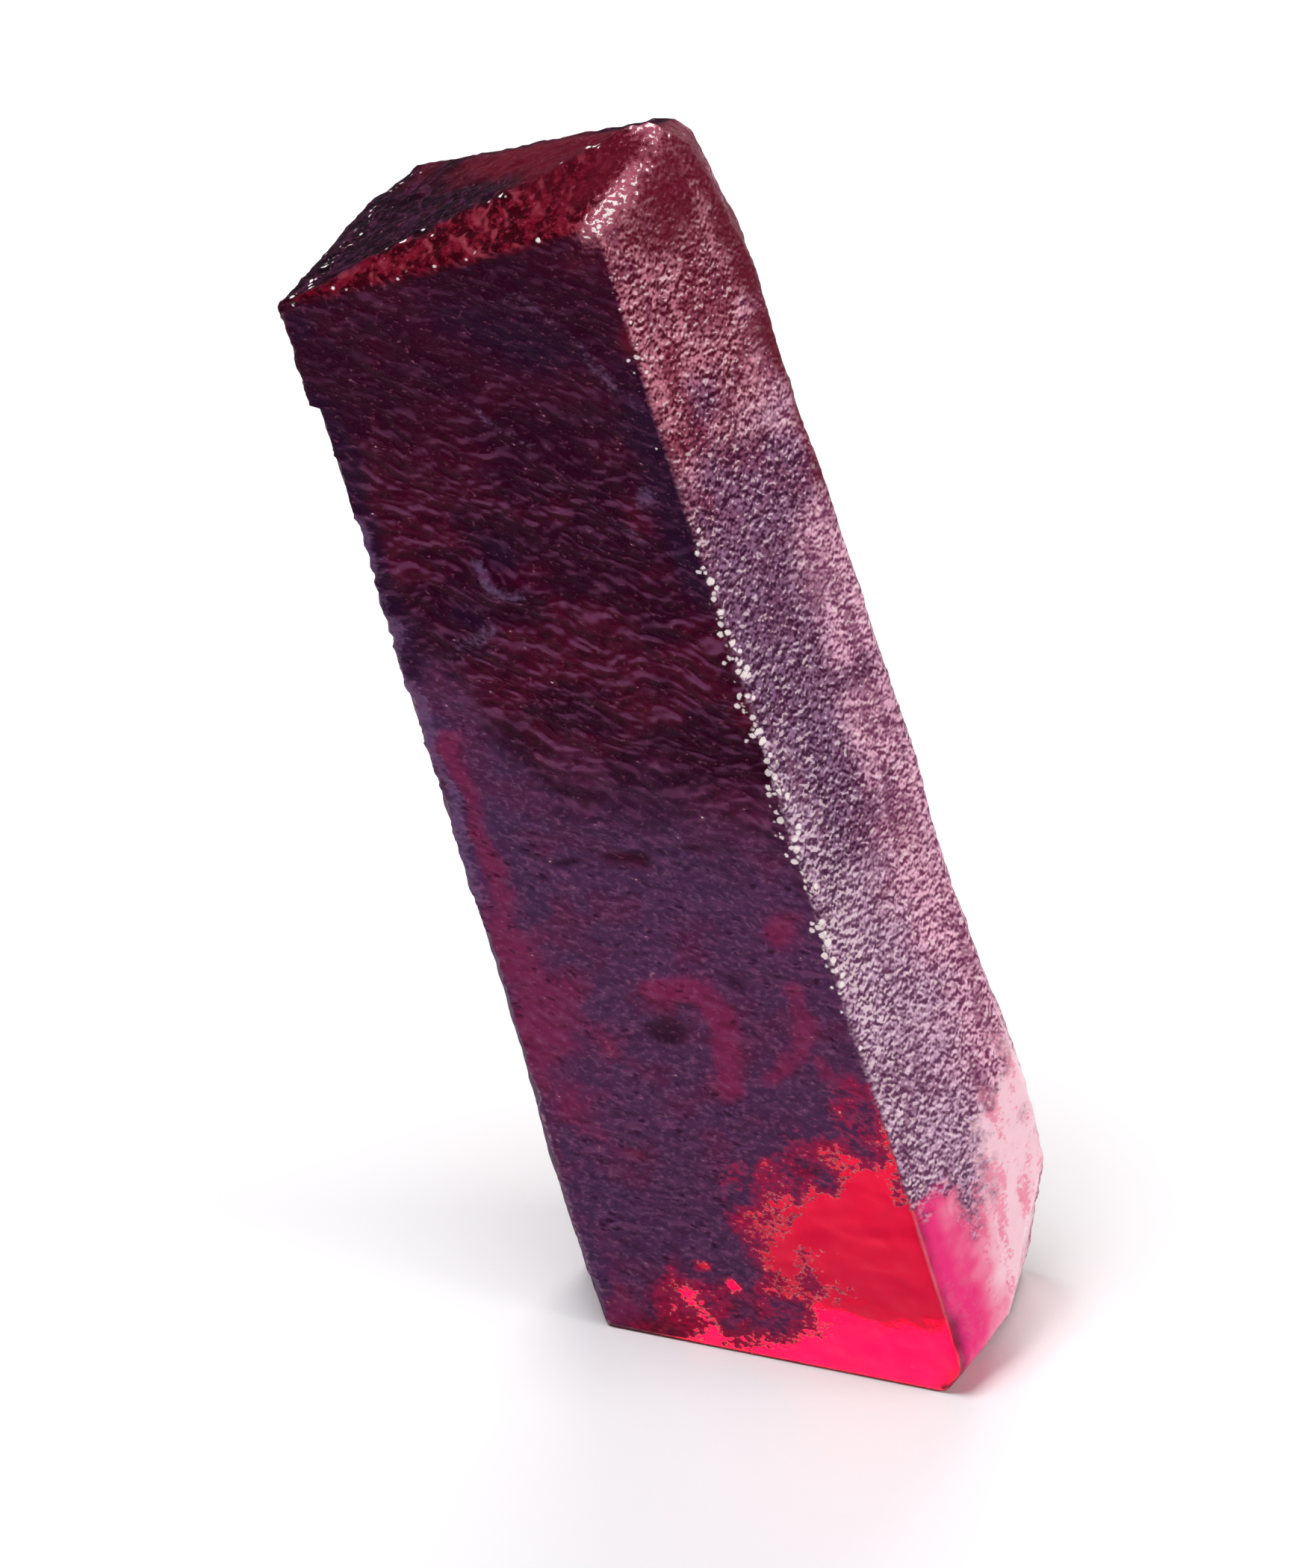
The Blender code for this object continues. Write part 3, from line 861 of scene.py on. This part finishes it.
def add_masks(tree, made):
    """Adds the sums and masks of the tables to the nodes made so far, by name."""
    for name, (base, share, other) in SUMS.items():
        made[name] = add_node(tree, "Math", {**TIMES_PLUS, 0: made[other], 1: share, 2: made[base]})
    for name, (value, low, high, *shake) in MASKS.items():
        value, (noise, amount) = made[value], shake or (None, 0.0)
        if noise:
            value = add_node(tree, "Math", {**TIMES_PLUS, 0: made[noise], 1: amount, 2: value})
        ends = {"From Min": low + amount / 2.0, "From Max": high + amount / 2.0}
        made[name] = add_node(tree, "MapRange", {"interpolation_type": "SMOOTHSTEP", "Value": value, **ends})

    # Likely beads show as painted glints, the likelier the larger, and the clump adds more painted glints.
    # The clear part's border is lace, softer beside the front.
    beads = add_node(tree, "Math", {**TIMES, 0: made["whole beads"], 1: made["likely beads"]})
    made["beads"] = add_node(tree, "Math", {"operation": "MAXIMUM", 0: beads, 1: made["glint_clump"]})
    borders = {"Factor": made["beside"], "A": made["lace"], "B": made["soft border"]}
    made["bare"] = add_node(tree, "Mix", borders)


def colour_named(name, coats, settings):
    """A coat's node, an sRGB code as a linear colour, or one of the crystal's settings."""
    if name in coats:
        return coats[name]
    return to_linear(name) if name.startswith("#") else getattr(settings, name)


def paint(tree, made, settings):
    """Every coat of the table by name. Each layer is mixed in by the product of its masks and its share."""
    coats = {}
    for coat, (base, layers) in COATS.items():
        under = colour_named(base, coats, settings)
        for masks, share, tint in layers:
            mask, *others = (made[name] for name in masks.split(" * "))
            for other in (*others, share):
                if other != 1.0:
                    mask = add_node(tree, "Math", {**TIMES, 0: mask, 1: other})
            over = colour_named(tint, coats, settings)
            under = add_node(tree, "Mix", {"data_type": "RGBA", "Factor": mask, "A": under, "B": over})
        coats[coat] = under
    return coats


def fine_relief(tree, made):
    """Relief too fine for the mesh: ripples on the front, softer where it is dusty, grain on the flank."""
    skin = add_node(tree, "MapRange", {"Value": made["bare"], "To Min": 1.0, "To Max": CLEAR_RELIEF})
    ripples = made["ripple"]
    dusty = add_node(tree, "MapRange", {"Value": made["dusty"], "To Min": 1.0, "To Max": DUSTY_RELIEF})
    for factor in (dusty, made["rippled"], RIPPLE_RELIEF):
        ripples = add_node(tree, "Math", {**TIMES, 0: ripples, 1: factor})
    grains = add_node(tree, "Math", {**TIMES, 0: made["grain"], 1: GRAIN_RELIEF})
    etched = add_node(tree, "Mix", {"Factor": made["flank"], "A": ripples, "B": grains})
    etched = add_node(tree, "Math", {**TIMES_PLUS, 0: made["fine"], 1: FINE_RELIEF, 2: etched})
    etched = add_node(tree, "Math", {**TIMES, 0: etched, 1: skin})
    return add_node(tree, "Bump", {"Strength": 1.0, "Distance": BUMP_HEIGHT, "Height": etched})


def etched_beryl(settings, names):
    """Red beryl, a natural crystal with etched faces: a frosted, dusty skin over clear raspberry glass.

    Where the skin is gone the crystal is nearly clear, and its colour comes from the light it absorbs. The
    thin skin next to the clear part is painted bright red, a painted glow of the light that comes through.
    The dusty skin has hardly any gloss.
    """
    material = bpy.data.materials.new("red_beryl_etched")
    material.use_nodes = True
    tree = material.node_tree
    tree.nodes.clear()
    made = {name: add_node(tree, "Attribute", {"attribute_name": name}) for name in names}
    made.update(crystal_patterns(tree, made["sway"]))
    add_masks(tree, made)

    ends = {"A": settings.skin_clearness, "B": made["through"]}
    clearness = add_node(tree, "Mix", {"Factor": made["bare"], **ends})
    unbeaded = add_node(tree, "Math", {"operation": "SUBTRACT", 0: 1.0, 1: made["beads"]})
    clearness = add_node(tree, "Math", {**TIMES, 0: clearness, 1: unbeaded})
    ends = {"To Min": SKIN_ROUGHNESS, "To Max": CLEAR_ROUGHNESS}
    roughness = add_node(tree, "MapRange", {"Value": made["bare"], **ends})
    for name, share in (("fine", FINE_ROUGHNESS), ("crown", CROWN_ROUGHNESS)):
        roughness = add_node(tree, "Math", {**TIMES_PLUS, 0: made[name], 1: share, 2: roughness})
    looks = {
        "Base Color": paint(tree, made, settings)["crystal"],
        "Roughness": roughness,
        "Transmission Weight": clearness,
        "IOR": settings.refraction,
        "Specular IOR Level": SHEEN,
        "Specular Tint": to_linear(SHEEN_COLOUR),
        "Normal": fine_relief(tree, made),
    }
    shader = add_node(tree, "BsdfPrincipled", looks)
    absorbing = {"Color": settings.absorbed_tint, "Density": settings.absorption}
    inside = add_node(tree, "VolumeAbsorption", absorbing)
    add_node(tree, "OutputMaterial", {"Surface": shader, "Volume": inside})
    return material


def pale_board(settings):
    """Matt coated paper board, plain white: it scatters light evenly and has hardly any gloss."""
    material = bpy.data.materials.new("paper_board_matt")
    material.use_nodes = True
    shader = material.node_tree.nodes["Principled BSDF"]
    looks = {"Base Color": settings.floor_colour, "Roughness": 0.9, "Specular IOR Level": 0.1}
    for name, value in looks.items():
        shader.inputs[name].default_value = value
    return material


# ---- stage


def add_object(name, data):
    """A new object in the scene."""
    thing = bpy.data.objects.new(name, data)
    bpy.context.scene.collection.objects.link(thing)
    return thing


def softbox(name, place, size, watts, colour):
    """A square area light at a place, turned to face the crystal's middle."""
    light = bpy.data.lights.new(name, "AREA")
    light.shape = "SQUARE"
    light.size = size
    light.energy = watts
    light.color = colour[:3]
    lamp = add_object(name, light)
    lamp.location = place
    facing = Vector((0.0, 0.0, SOFTBOX_AIM)) - Vector(place)
    lamp.rotation_euler = facing.to_track_quat("-Z", "Y").to_euler()


def floor_board(settings):
    """A flat square board just under the foot."""
    half, drop = settings.floor_size / 2.0, -FLOOR_DROP
    corners = [(-half, -half, drop), (half, -half, drop), (half, half, drop), (-half, half, drop)]
    mesh = bpy.data.meshes.new("floor")
    mesh.from_pydata(corners, [], [(0, 1, 2, 3)])
    mesh.materials.append(pale_board(settings))
    floor = add_object("floor", mesh)


def camera():
    """A long lens that looks down at the crystal from the front."""
    rise = math.radians(CAMERA_RISE)
    looking = Vector((0.0, math.cos(rise), -math.sin(rise)))
    lens = bpy.data.cameras.new("camera")
    lens.lens = CAMERA_LENS
    lens.sensor_width = CAMERA_SENSOR
    lens.clip_start = 10.0 * MM
    lens.clip_end = 10.0
    eye = add_object("camera", lens)
    eye.location = Vector(CAMERA_TARGET) * MM - CAMERA_DISTANCE * MM * looking
    eye.rotation_euler = (math.pi / 2.0 - rise, 0.0, 0.0)
    bpy.context.scene.camera = eye


# ---- settings, operators and panel


def colour_setting(name, description, code):
    """A colour that a user can change, by its sRGB code."""
    limits = {"size": 4, "min": 0.0, "max": 1.0, "default": to_linear(code)}
    return bpy.props.FloatVectorProperty(name=name, description=description, subtype="COLOR", **limits)


def number_setting(name, description, default, unit="NONE", **limits):
    """A number that a user can change, from 0 up unless the limits say otherwise."""
    limits = {"min": 0.0, **limits}
    return bpy.props.FloatProperty(name=name, description=description, default=default, unit=unit, **limits)


class CrystalSettings(bpy.types.PropertyGroup):
    """Sizes and colours of the crystal."""

    ripple_height: number_setting(
        "Ripple height", "Height of the etched ripples on the front face", 0.050 * MM, "LENGTH"
    )
    grain_height: number_setting(
        "Grain height", "Height of the grains on the narrow right face", 0.045 * MM, "LENGTH"
    )
    skin_clearness: number_setting(
        "Skin clearness", "How much light passes the frosted skin", 0.05, max=1.0, subtype="FACTOR"
    )
    refraction: number_setting("Refractive index", "Refractive index of beryl", 1.57, min=1.0, max=2.0)
    absorption: number_setting("Absorption", "Absorption of the crystal, per metre, before its tint", 1400.0)
    absorbed_tint: colour_setting("Absorption tint", "Colour that passes the crystal", "#fe00b8")
    deep_colour: colour_setting("Deep skin", "Skin of the upper front face", "#30061e")
    crimson_colour: colour_setting("Crimson skin", "Redder clouds in the deep skin", "#520c26")
    violet_colour: colour_setting("Violet skin", "Dark violet patches of the upper front face", "#260f2c")
    dusty_colour: colour_setting("Dusty skin", "Skin of the lower front face", "#4e3056")
    plum_colour: colour_setting("Plum skin", "Redder clouds in the dusty skin", "#5c2040")
    speck_colour: colour_setting("Dust", "Fine specks in the dusty skin", "#74507a")
    # Painted highlight of the ripples' upper sides.
    crest_colour: colour_setting("Crests", "Crests of the etched ripples", "#8c5078")
    # Paler lilac frost that is partly a painted sheen.
    lilac_colour: colour_setting("Lilac skin", "Smooth lilac places and veins", "#80608a")
    # Painted shade: the ripples' undersides, the pits and the dark hollows under the ledges.
    dark_colour: colour_setting("Pits", "Etch pits and dark ledges", "#18020e")
    blush_colour: colour_setting("Blush", "Thin skin, where red shows through", "#8a2854")
    # These four are the painted lit copy of the narrow face's skin. The shaded copy is in the coats.
    flank_top_colour: colour_setting("Upper flank", "Skin of the narrow right face, above", "#d8889a")
    flank_pink_colour: colour_setting("Pink flank", "Skin of the narrow face, towards its right", "#ffc2d8")
    flank_smoke_colour: colour_setting("Smoky flank", "Greyer skin in the narrow face's middle", "#8c6088")
    flank_low_colour: colour_setting("Lower flank", "Skin of the narrow right face, below", "#dab4d0")
    # Painted glints of the edge beads and of the narrow face's grains.
    sparkle_colour: colour_setting("Sparkles", "Bright grains along the edges", "#fff2f0")


class StageSettings(bpy.types.PropertyGroup):
    """Sizes, colours and lights of the floor and the studio."""

    floor_size: number_setting("Floor size", "Side of the square floor", 0.4, "LENGTH", min=0.1)
    floor_colour: colour_setting("Floor", "Colour of the pale floor", "#f7f7f7")
    back_watts: number_setting("Back light", "Power of the softbox behind the crystal", 1.7, "POWER")
    side_watts: number_setting("Side light", "Power of the softbox at the right", 1.0, "POWER")
    top_watts: number_setting("Top light", "Power of the softbox overhead", 2.3, "POWER")
    room_colour: colour_setting("Room", "Colour of the even light all round", "#f4ecf2")
    world_strength: number_setting("Room light", "Strength of the even light all round", 0.10)


class MESH_OT_red_beryl(bpy.types.Operator):
    """Builds the etched crystal and its material, in place of the plain solid"""

    bl_idname = "mesh.red_beryl"
    bl_label = "Build crystal"

    def execute(self, context):
        settings = context.scene.beryl_crystal
        grid = soften(sharp_grid())
        places = Places(grid)
        mesh = closed_mesh("red_beryl", carve(grid, places, settings))
        names = mark(mesh, places)
        mesh.materials.append(etched_beryl(settings, names))
        crystal = add_object("red_beryl", mesh)
        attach(crystal, "root")
        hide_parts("crystal")
        return {"FINISHED"}


class SCENE_OT_beryl_stage(bpy.types.Operator):
    """Builds the pale floor, the soft lights and the camera"""

    bl_idname = "scene.beryl_stage"
    bl_label = "Build stage"

    def execute(self, context):
        settings = context.scene.beryl_stage
        floor_board(settings)
        camera()
        watts = (settings.back_watts, settings.side_watts, settings.top_watts)
        for (name, place, size, tone), power in zip(SOFTBOXES, watts):
            softbox(name, place, size, power, to_linear(tone))
        world = bpy.data.worlds.new("room")
        world.use_nodes = True
        background = world.node_tree.nodes["Background"]
        background.inputs["Color"].default_value = settings.room_colour
        background.inputs["Strength"].default_value = settings.world_strength
        context.scene.world = world
        context.scene.view_settings.view_transform = "Standard"
        return {"FINISHED"}


class VIEW3D_PT_beryl(bpy.types.Panel):
    """Settings and build buttons of the crystal and its stage"""

    bl_label = "Red beryl crystal"
    bl_idname = "VIEW3D_PT_beryl"
    bl_space_type = "VIEW_3D"
    bl_region_type = "UI"
    bl_category = "Crystal"

    def draw(self, context):
        for settings, operator in (
            (context.scene.beryl_crystal, MESH_OT_red_beryl),
            (context.scene.beryl_stage, SCENE_OT_beryl_stage),
        ):
            box = self.layout.box()
            for name in settings.__annotations__:
                box.prop(settings, name)
            box.operator(operator.bl_idname)


CLASSES = (CrystalSettings, StageSettings, MESH_OT_red_beryl, SCENE_OT_beryl_stage, VIEW3D_PT_beryl)


def register():
    for kind in CLASSES:
        bpy.utils.register_class(kind)
    bpy.types.Scene.beryl_crystal = bpy.props.PointerProperty(type=CrystalSettings)
    bpy.types.Scene.beryl_stage = bpy.props.PointerProperty(type=StageSettings)


def unregister():
    del bpy.types.Scene.beryl_stage
    del bpy.types.Scene.beryl_crystal
    for kind in reversed(CLASSES):
        bpy.utils.unregister_class(kind)


def main():
    """Registers the classes, then builds the crystal and the stage in order."""
    register()
    bpy.ops.mesh.red_beryl()
    bpy.ops.scene.beryl_stage()


if __name__ == "__main__":
    main()
